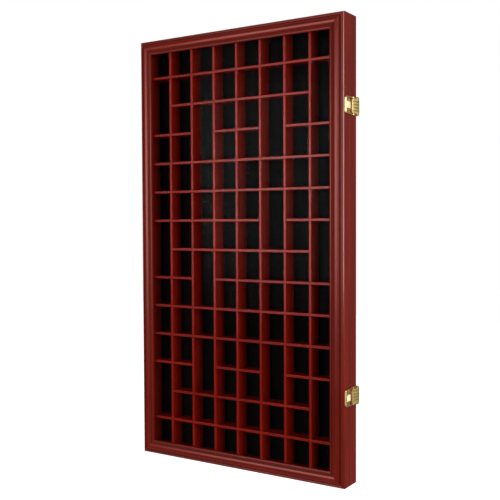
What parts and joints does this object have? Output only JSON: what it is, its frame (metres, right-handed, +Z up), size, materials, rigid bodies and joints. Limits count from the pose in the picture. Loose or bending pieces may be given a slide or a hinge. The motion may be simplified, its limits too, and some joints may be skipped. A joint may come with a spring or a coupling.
{
  "type": "thimble display case",
  "caption": "Shallow wall-hung wooden case with a grid of small cells behind a clear-glazed moulded door, hinged at the side and held by toggle latches.",
  "frame": {"origin": "on the wall plane, midway between the round entries of the two keyhole hangers", "axes": "+X to the viewer's right, +Y into the wall, +Z up; the door faces -Y"},
  "size_m": [0.3713, 0.0433, 0.6616],
  "materials": {
    "frame_wood": "satin cherry stain and lacquer",
    "grid_wood": "satin cherry stain and lacquer",
    "back_board": "matt stained thin board",
    "felt": "black felt",
    "pane": "clear polished acrylic sheet",
    "brass": "polished, brass plated"
  },
  "bodies": {
    "case": {"back_panel": "back_board", "case_bottom": "frame_wood", "case_left": "frame_wood", "case_right": "frame_wood", "case_screws": "brass", "case_top": "frame_wood", "divider_1": "grid_wood", "divider_2": "grid_wood", "divider_3": "grid_wood", "divider_4": "grid_wood", "divider_5": "grid_wood", "divider_6": "grid_wood", "divider_7": "grid_wood", "felt_lining": "felt", "hanger_plates": "brass", "hanging_rail": "frame_wood", "hinge_lower_case_leaf": "brass", "hinge_pins": "brass", "hinge_upper_case_leaf": "brass", "latch_lower_base": "brass", "latch_pivot_pins": "brass", "latch_upper_base": "brass", "liner_bottom": "grid_wood", "liner_left": "grid_wood", "liner_right": "grid_wood", "liner_top": "grid_wood", "shelf_01_cols_1_8": "grid_wood", "shelf_02_cols_2_7": "grid_wood", "shelf_03_cols_1_2": "grid_wood", "shelf_03_cols_4_5": "grid_wood", "shelf_03_cols_7_8": "grid_wood", "shelf_04_cols_1_8": "grid_wood", "shelf_05_cols_1_8": "grid_wood", "shelf_06_cols_1_5": "grid_wood", "shelf_06_cols_7_8": "grid_wood", "shelf_07_cols_2_7": "grid_wood", "shelf_08_cols_1_2": "grid_wood", "shelf_08_cols_4_8": "grid_wood", "shelf_09_cols_1_8": "grid_wood", "shelf_10_cols_1_8": "grid_wood", "shelf_11_cols_1_2": "grid_wood", "shelf_11_cols_4_5": "grid_wood", "shelf_11_cols_7_8": "grid_wood", "shelf_12_cols_2_7": "grid_wood", "shelf_13_cols_1_8": "grid_wood"},
    "door": {"catch_lower": "brass", "catch_upper": "brass", "door_bottom_rail": "frame_wood", "door_left_stile": "frame_wood", "door_pane": "pane", "door_right_stile": "frame_wood", "door_screws": "brass", "door_top_rail": "frame_wood", "hinge_lower_door_leaf": "brass", "hinge_upper_door_leaf": "brass"},
    "lower_lever": {"latch_lower_lever": "brass"},
    "lower_link": {"latch_lower_link": "brass"},
    "upper_lever": {"latch_upper_lever": "brass"},
    "upper_link": {"latch_upper_link": "brass"}
  },
  "joints": [
    {"name": "door_hinge", "type": "hinge", "parent": "case", "child": "door", "pos_m": [-0.183, -0.0222, -0.2934], "axis": [0, 0, -1], "range_deg": [0, 175]},
    {"name": "upper_lever_pivot", "type": "hinge", "parent": "case", "child": "upper_lever", "pos_m": [0.1837, -0.0182, -0.0899], "axis": [0, 0, -1], "range_deg": [0, 90]},
    {"name": "upper_link_pivot", "type": "hinge", "parent": "upper_lever", "child": "upper_link", "pos_m": [0.1831, -0.0147, -0.0899], "axis": [0, 0, -1], "range_deg": [-90, 0]},
    {"name": "lower_lever_pivot", "type": "hinge", "parent": "case", "child": "lower_lever", "pos_m": [0.1837, -0.0182, -0.4969], "axis": [0, 0, -1], "range_deg": [0, 90]},
    {"name": "lower_link_pivot", "type": "hinge", "parent": "lower_lever", "child": "lower_link", "pos_m": [0.1831, -0.0147, -0.4969], "axis": [0, 0, -1], "range_deg": [-90, 0]}
  ],
  "couplings": [
    {"joint": "upper_link_pivot", "follows": "upper_lever_pivot", "ratio": -1},
    {"joint": "lower_link_pivot", "follows": "lower_lever_pivot", "ratio": -1}
  ]
}
